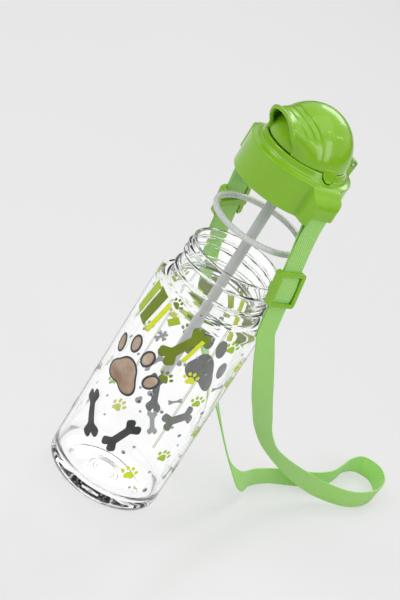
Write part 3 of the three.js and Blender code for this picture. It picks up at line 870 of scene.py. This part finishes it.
def make_drinking_parts(soft, tube, metal):
    spout_top = 44.8
    bore = 2.3
    straw_profile = rounded([(bore, STRAW_LOW_Z, 0.3), (3, STRAW_LOW_Z, 0.3),
                             (3, CAP_Z + 17.6, 0.3), (bore, CAP_Z + 17.6, 0.3)], steps=3)
    put(turned("drinking_straw", straw_profile, tube, segments=64), "cap", "straw_plastic", "straw")

    spout = rounded([
        (bore, spout_top - 0.4, 0.5), (bore, 18, 0.3), (3.3, 18, 0.3), (3.3, 9.5, 0.3), (5.2, 9.5, 0.4),
        (5.6, 12, 0.5), (5.1, 13.2, 0.3), (5.7, 14.4, 0.3), (7.4, 18.6, 0.4), (7.4, DECK_LOW - 0.3, 0.2),
        (4.9, DECK_LOW - 0.3, 0.2), (4.9, DECK_TOP + 0.3, 0.2), (7.7, DECK_TOP + 0.3, 0.3), (7.2, 24, 0.8),
        (5.2, 25.6, 1), (4.6, 31, 2), (4.3, 39, 2), (5, 42.4, 0.9), (4.5, spout_top, 0.7),
        (bore + 0.5, spout_top, 0.4),
    ])
    put(turned("spout", spout, soft, segments=96, base_z=CAP_Z), "cap", "silicone", "mouthpiece")

    plug_low, plug_high = spout_top + 0.3, 49
    plug = rounded([(0, plug_low), (5.2, plug_low, 0.3), (5.8, plug_low + 0.6, 0.4),
                    (5.4, plug_high - 0.4, 0.4), (4.4, plug_high, 0.4), (0, plug_high)], closed=False)
    put(turned("plug", plug, soft, segments=80, closed=False, base_z=CAP_Z),
        "cover", "silicone", "cover_plug")

    valve = rounded([(0, 16.3), (1.6, 16.4, 0.4), (2.8, 17.9, 0.4), (2.8, DECK_LOW - 0.3, 0.2),
                     (1.8, DECK_LOW - 0.3, 0.2), (1.8, DECK_TOP + 0.3, 0.2), (3.4, DECK_TOP + 0.3, 0.2),
                     (3.1, DECK_TOP + 1.2, 0.4), (0.9, DECK_TOP + 1.6, 0.3),
                     (0, DECK_TOP + 1.3)], closed=False)
    put(turned("valve", valve, soft, segments=56, closed=False, base_z=CAP_Z, y=VALVE_Y),
        "cap", "silicone", "air_valve")

    pin = rod("cover_pin", 1.1, -7.9, 8.8, HINGE_Y, HINGE_Z, "x", 40)
    pin.data.materials.append(metal)
    put(pin, "cap", "steel", "hinge_pin")


# ---- screw cap ----
def skirt_plan():
    """The skirt's circle with a rounded block of an ear at each side."""
    meet = math.degrees(math.asin(EAR_HALF / SKIRT_R))
    centre = EAR_X - EAR_CORNER_R
    right = arc(centre, EAR_CORNER_R - EAR_HALF, EAR_CORNER_R, -90, 0, 10)
    right += arc(centre, EAR_HALF - EAR_CORNER_R, EAR_CORNER_R, 0, 90, 10)
    back = arc(0, 0, SKIRT_R, meet, 180 - meet, 48)
    turned_about = [(-x, -y) for x, y in right + back]
    return right + back + turned_about


def tongue_outline(grow):
    """A U-shaped tongue of the cover, seen from the side, in y and height above the cap's rim."""
    top = 28.4
    return [(5 + grow, top), (-4 - grow, top)] + arc(0.5, 26.3 - grow, 4.5 + grow, 180, 360, 16)


def raised(outline, z=CAP_Z):
    return [(p[0], p[1] + z) for p in outline]


def screw_thread(start):
    """One ridge inside the skirt, as a closed sweep along a helix, from a start in degrees."""
    first_z, rise, turn, steps = CAP_Z + 4, 4, 75, 40
    line = []
    outward = []
    for i in range(steps + 1):
        angle = math.radians(start + turn * i / steps)
        way = Vector((math.cos(angle), math.sin(angle), 0))
        line.append(way * SKIRT_BORE_R + Vector((0, 0, first_z + rise * i / steps)))
        outward.append(way)
    return sweep("ridge", line, outward, [(0.5, -1.2), (-0.6, -0.5), (-0.6, 0.5), (0.5, 1.2)])


def make_cap(plastic):
    """Skirt and ears under a sloping roof, then collar, lugs and webs, then all that is hollow."""
    cap = prism("cap_shell", skirt_plan(), CAP_Z, CAP_Z + 24)
    limit = [(0, -1), (48, -1), (48, 14), (30.2, 20.2), (26.6, 21.3), (0, 21.3)]
    join(cap, turned("limit", limit, closed=False, base_z=CAP_Z), "INTERSECT")
    crown = arc(EAR_X - 7, 10.6, 7, 0, 66, 12) + [(30.4, 19.1), (26, 20.6), (16, 21.2), (0, 21.4)]
    roof = [(EAR_X + 0.01, -1)] + crown + [(-x, z) for x, z in reversed(crown[:-1])] + [(-EAR_X - 0.01, -1)]
    join(cap, prism("roof", raised(roof), -40, 40, "y"), "INTERSECT")
    collar = rounded([
        (0, DECK_LOW - 1), (27.5, DECK_LOW - 1), (27.5, 20.9), (26.9, 21.3, 0.3), (26.7, 22.2, 0.5),
        (25.9, 22.5, 0.4), (24.9, COLLAR_TOP, 0.5), (23.2, COLLAR_TOP, 0.5), (22.8, 22.5, 0.5),
        (22, DECK_TOP, 0.5), (9.4, DECK_TOP, 0.3), (9, 22.8, 0.4), (8.2, 22.8, 0.3), (7.9, DECK_TOP, 0.2),
        (0, DECK_TOP),
    ], closed=False)
    join(cap, turned("collar", collar, closed=False, base_z=CAP_Z))
    lug_width = 3.7
    for x in (-9, 5.3):
        join(cap, rod("lug", LUG_R, x, x + lug_width, HINGE_Y, HINGE_Z))
        web = [(23.5, CAP_Z + 21), (29, CAP_Z + 19), (HINGE_Y + 2.45, HINGE_Z - 0.8),
               (HINGE_Y, HINGE_Z + 0.3), (23.6, CAP_Z + 25.2)]
        join(cap, prism("web", web, x, x + lug_width, "x"))
    bore = [(0, -2), (SKIRT_BORE_R, -2), (SKIRT_BORE_R, 18.1), (27.3, DECK_LOW), (0, DECK_LOW)]
    cut(cap, turned("bore", bore, closed=False, base_z=CAP_Z))
    above = CAP_Z + 30
    cut(cap, rod("spout_hole", 5.2, CAP_Z, above, 0, 0, "z", 64))
    cut(cap, rod("valve_hole", 2.1, CAP_Z, above, 0, VALVE_Y, "z"))
    cut(cap, rod("pin_hole", HINGE_HOLE_R, -8.2, 12, HINGE_Y, HINGE_Z))
    cut(cap, rod("knuckle_room", LUG_ROOM_R, -5, 5, HINGE_Y, HINGE_Z))
    slots = ((2.3, 2.3, EAR_SLOT_HALF, PIN_Z + 2.6), (1.5, 9, 12, CAP_Z + EAR_FOOT))
    for sign in (1, -1):
        for inner, outer, back, top in slots:
            slot = [(sign * (PIN_X - inner), -EAR_SLOT_HALF), (sign * (PIN_X + outer), -EAR_SLOT_HALF),
                    (sign * (PIN_X + outer), back), (sign * (PIN_X - inner), back)]
            cut(cap, prism("slot", slot, CAP_Z - 2, top))
        near, far = sorted((sign * 22.4, sign * 30))
        cut(cap, prism("notch", raised(tongue_outline(0.4)), near, far, "x"))
        cut(cap, rod("pin_way", 1.1, -7.7, EAR_HALF + 5, sign * PIN_X, PIN_Z, "y"))
    for start in (60, 180, 300):
        join(cap, screw_thread(start))
    put(moulded(cap, 0.3, plastic, 2), "cap", "green_plastic", "screw_cap")


# ---- flip cover ----
# Right half of the hood, from the middle of the top to the gap: crease on the dome, sag, lip.
HOOD_CREASE = [(0, -13.8, 19.9), (5.9, -13.1, 19.5), (11.7, -10.8, 17.8), (16.5, -8.7, 14.7),
               (19.8, -7.6, 11.2), (22, -7, 6.1), (23, -6.4, 0), (23.1, -6.2, -2.5)]
HOOD_SAG = [(0, -21, 15.8), (6, -20.8, 15.4), (12.4, -19.4, 13.8), (16.8, -17.6, 11.6), (19.4, -16.4, 8.6),
            (21, -15.9, 4.4), (21.7, -15.8, 0), (21.7, -15.8, -2.5)]
HOOD_LIP = [(0, -27.9, 17.6), (5.5, -27.9, 16.9), (9.2, -27.7, 15), (11.6, -26.2, 11.3), (12.7, -24.2, 7.8),
            (13.2, -21.4, 4), (13.4, -20.2, 0), (13.4, -20.2, -2.5)]


def full_width(half):
    """A curve over the whole hood from its right half."""
    right = [Vector((x, y, z + COVER_Z)) for x, y, z in half]
    left = [Vector((-p.x, p.y, p.z)) for p in reversed(right[1:])]
    return curve_through(left + right, 8)


def hood_point(curves, row, share):
    """A point of the hood's skin: a quadratic curve from the crease, pulled to the sag, to the lip."""
    crease, sag, lip = (curve[row] for curve in curves)
    return crease.lerp(sag, share).lerp(sag.lerp(lip, share), share)


def make_hood():
    """The peak in front of the dome: a shell between the crease and the finger lip."""
    curves = [full_width(half) for half in (HOOD_CREASE, HOOD_SAG, HOOD_LIP)]
    rows, columns = len(curves[0]), 24
    outer = [[hood_point(curves, row, k / columns) for k in range(columns + 1)] for row in range(rows)]
    inner = []
    for row in range(rows):
        line = []
        for k in range(columns + 1):
            along = outer[row][min(k + 1, columns)] - outer[row][max(k - 1, 0)]
            around = outer[min(row + 1, rows - 1)][k] - outer[max(row - 1, 0)][k]
            inward = along.cross(around).normalized()
            if inward.dot(Vector((0, 8, COVER_Z)) - outer[row][k]) < 0:
                inward.negate()
            line.append(outer[row][k] + inward * COVER_WALL)
        inner.append(line)
    width = columns + 1
    points = [p for sheet in (outer, inner) for line in sheet for p in line]
    half = rows * width
    faces = []
    for row in range(rows - 1):
        for k in range(columns):
            a = row * width + k
            faces.append([a, a + 1, a + width + 1, a + width])
            faces.append([half + a, half + a + width, half + a + width + 1, half + a + 1])
        for k in (0, columns):
            a = row * width + k
            faces.append([a, a + width, half + a + width, half + a])
    for row in (0, rows - 1):
        for k in range(columns):
            a = row * width + k
            faces.append([a, half + a, half + a + 1, a + 1])
    hood = add_mesh("hood", points, faces)
    lip = [line[-1].lerp(under[-1], 0.4) for line, under in zip(outer, inner)]
    bead = sweep("bead", lip, [Vector((0, -1, 0.2))] * rows, round_section(1.25))
    join(hood, bead)
    for share, reach in ((0.28, 0.5), (0.55, 0.46)):
        span = int(rows * reach / 2)
        middle = rows // 2
        line = [hood_point(curves, row, share) for row in range(middle - span, middle + span + 1)]
        away = [p - Vector((0, 0, COVER_Z)) for p in line]
        ends = [min(1, 0.25 + 3 * min(i, 2 * span - i) / span) for i in range(2 * span + 1)]
        line = [p + a.normalized() * 0.9 * (1 - e) for p, a, e in zip(line, away, ends)]
        cut(hood, sweep("groove", line, away, round_section(0.75)))
    return hood


def helmet_outline():
    """Plan of the rear of the dome: all that lies behind the crease."""
    crease = [(x, -14.7 + 7.2 * min(abs(x) / 23, 1) ** 1.5) for x in range(-26, 27)]
    return [(26, 40)] + crease[::-1] + [(-26, 40)]


def make_cover(plastic):
    """A dome with a raised rear half and a hood in front, hollow, with tongues, arm and knuckle."""
    step = 0.9
    cover = dome("cover_shell", DOME_R - step, DOME_H - step, COVER_Z)
    helmet = dome("helmet", DOME_R, DOME_H, COVER_Z)
    join(helmet, prism("rear", helmet_outline(), COVER_Z - 40, COVER_Z + 40), "INTERSECT")
    join(cover, helmet)
    join(cover, make_hood())
    cut(cover, dome("hollow", DOME_R - COVER_WALL - 0.3, DOME_H - COVER_WALL, COVER_Z))
    past = 60
    cut(cover, prism("below", oblong(past, -past, past), COVER_Z - past, COVER_Z))
    for x in (-9.4, 4.9):
        cut(cover, rod("lug_room", LUG_ROOM_R, x, x + 4.5, HINGE_Y, HINGE_Z))
    skin = [(0, 18), (27, 21.5), (26.8, 22.4), (26.1, 22.7), (25.05, COLLAR_TOP), (24.5, 28.4), (0, 28.4)]
    for sign in (1, -1):
        near, far = sorted((sign * 22.9, sign * 30))
        tongue = prism("tongue", raised(tongue_outline(0)), near, far, "x")
        join(tongue, turned("skin", skin, closed=False, base_z=CAP_Z), "INTERSECT")
        join(cover, tongue)
    arm = [(22.6, COVER_Z), (24.6, COVER_Z), (HINGE_Y, HINGE_Z - 1.6), (HINGE_Y, HINGE_Z + 2.5),
           (22.6, COVER_Z + 5)]
    knuckle_half = 4.8
    join(cover, prism("arm", arm, -knuckle_half, knuckle_half, "x"))
    join(cover, rod("knuckle", LUG_R, -knuckle_half, knuckle_half, HINGE_Y, HINGE_Z))
    cut(cover, rod("pin_hole", HINGE_HOLE_R, -6, 6, HINGE_Y, HINGE_Z))
    put(moulded(cover, 0.25, plastic, 2), "cover", "green_plastic", "flip_cover")


# ---- floor, light and surroundings ----
def make_floor():
    """A pale floor that also reads white when it's seen through the clear wall."""
    material = new_material("floor", Roughness=0.28, Specular_IOR_Level=0.35)
    grain = spread(material, noise(material, 4), 0, 1)
    drive(material, "Base Color", mixed_colour(material, grain, (0.80, 0.80, 0.80), (0.81, 0.81, 0.81)))
    tree = material.node_tree
    path = tree.nodes.new("ShaderNodeLightPath")
    even = node(material, "Emission", Color=(0.81, 0.81, 0.81, 1), Strength=1.0)
    glow = node(material, "Emission", Color=(1, 1, 1, 1), Strength=1.0)
    half = math_node(material, "MULTIPLY", path.outputs["Is Camera Ray"], 0.55)
    seen = tree.nodes.new("ShaderNodeMixShader")
    tree.links.new(half, seen.inputs["Fac"])
    tree.links.new(shader_of(material).outputs["BSDF"], seen.inputs[1])
    tree.links.new(even.outputs["Emission"], seen.inputs[2])
    mix = tree.nodes.new("ShaderNodeMixShader")
    tree.links.new(path.outputs["Is Transmission Ray"], mix.inputs["Fac"])
    tree.links.new(seen.outputs["Shader"], mix.inputs[1])
    tree.links.new(glow.outputs["Emission"], mix.inputs[2])
    tree.links.new(mix.outputs["Shader"], tree.nodes["Material Output"].inputs["Surface"])
    reach = 4000
    floor = add_mesh("floor", [(-reach, -reach, 0), (reach, -reach, 0), (reach, reach, 0),
                               (-reach, reach, 0)], [[0, 1, 2, 3]], material)


def make_world():
    """White surroundings, dark near the horizon to draw the clear plastic's edges. The camera
    itself sees one even grey."""
    world = bpy.data.worlds.new("studio")
    bpy.context.scene.world = world
    world.use_nodes = True
    tree = world.node_tree
    background = tree.nodes["Background"]
    where = tree.nodes.new("ShaderNodeTexCoord")
    split = tree.nodes.new("ShaderNodeSeparateXYZ")
    band = tree.nodes.new("ShaderNodeValToRGB")
    path = tree.nodes.new("ShaderNodeLightPath")
    mix = tree.nodes.new("ShaderNodeMix")
    mix.data_type = "RGBA"
    colours = [s for s in mix.inputs if s.type == "RGBA"]
    tree.links.new(where.outputs["Generated"], split.inputs["Vector"])
    tree.links.new(split.outputs["Z"], band.inputs["Fac"])
    stops = ((0.0, 0.12), (0.14, 0.16), (0.3, 0.95), (1.0, 1.0))
    ramp = band.color_ramp.elements
    while len(ramp) < len(stops):
        ramp.new(0.5)
    for element, (place, value) in zip(ramp, stops):
        element.position = place
        element.color = (value, value, value, 1)
    tree.links.new(band.outputs["Color"], colours[0])
    colours[1].default_value = (0.8, 0.8, 0.8, 1)
    tree.links.new(path.outputs["Is Camera Ray"], mix.inputs["Factor"])
    tree.links.new(next(s for s in mix.outputs if s.type == "RGBA"), background.inputs["Color"])
    background.inputs["Strength"].default_value = 0.7


def add_light(name, place, target, width, height, power):
    data = bpy.data.lights.new(name, "AREA")
    data.shape = "RECTANGLE"
    data.size, data.size_y = width, height
    data.energy = power
    light = bpy.data.objects.new(name, data)
    light.location = place
    light.rotation_mode = "QUATERNION"
    light.rotation_quaternion = (Vector(target) - Vector(place)).to_track_quat("-Z", "Y")
    bpy.context.scene.collection.objects.link(light)


def make_lights():
    middle = (0, 0, 0.14)
    add_light("key", (-0.35, -1.0, 1.1), middle, 0.4, 0.9, 4.5)
    add_light("side", (1.1, 0.25, 0.75), middle, 0.35, 1.0, 3)
    add_light("back", (-0.7, 0.9, 0.9), middle, 0.8, 0.5, 3)
    add_light("top", (0.1, 0, 1.6), middle, 1.2, 1.2, 3)


# ---- the scene ----
bpy.context.scene.view_settings.view_transform = "Standard"
make_camera()
GREEN = green_plastic()
CLOTH = webbing()
SOFT = silicone("silicone", 0.35, (0.80, 0.82, 0.82))
METAL = steel()
make_strap(CLOTH, GREEN, METAL)
make_bottle(clear_plastic())
make_print()
make_seal(silicone("ring_silicone", 0.12, (0.76, 0.77, 0.76)))
make_drinking_parts(SOFT, straw_plastic(), METAL)
make_cap(GREEN)
make_cover(GREEN)
make_floor()
make_world()
make_lights()
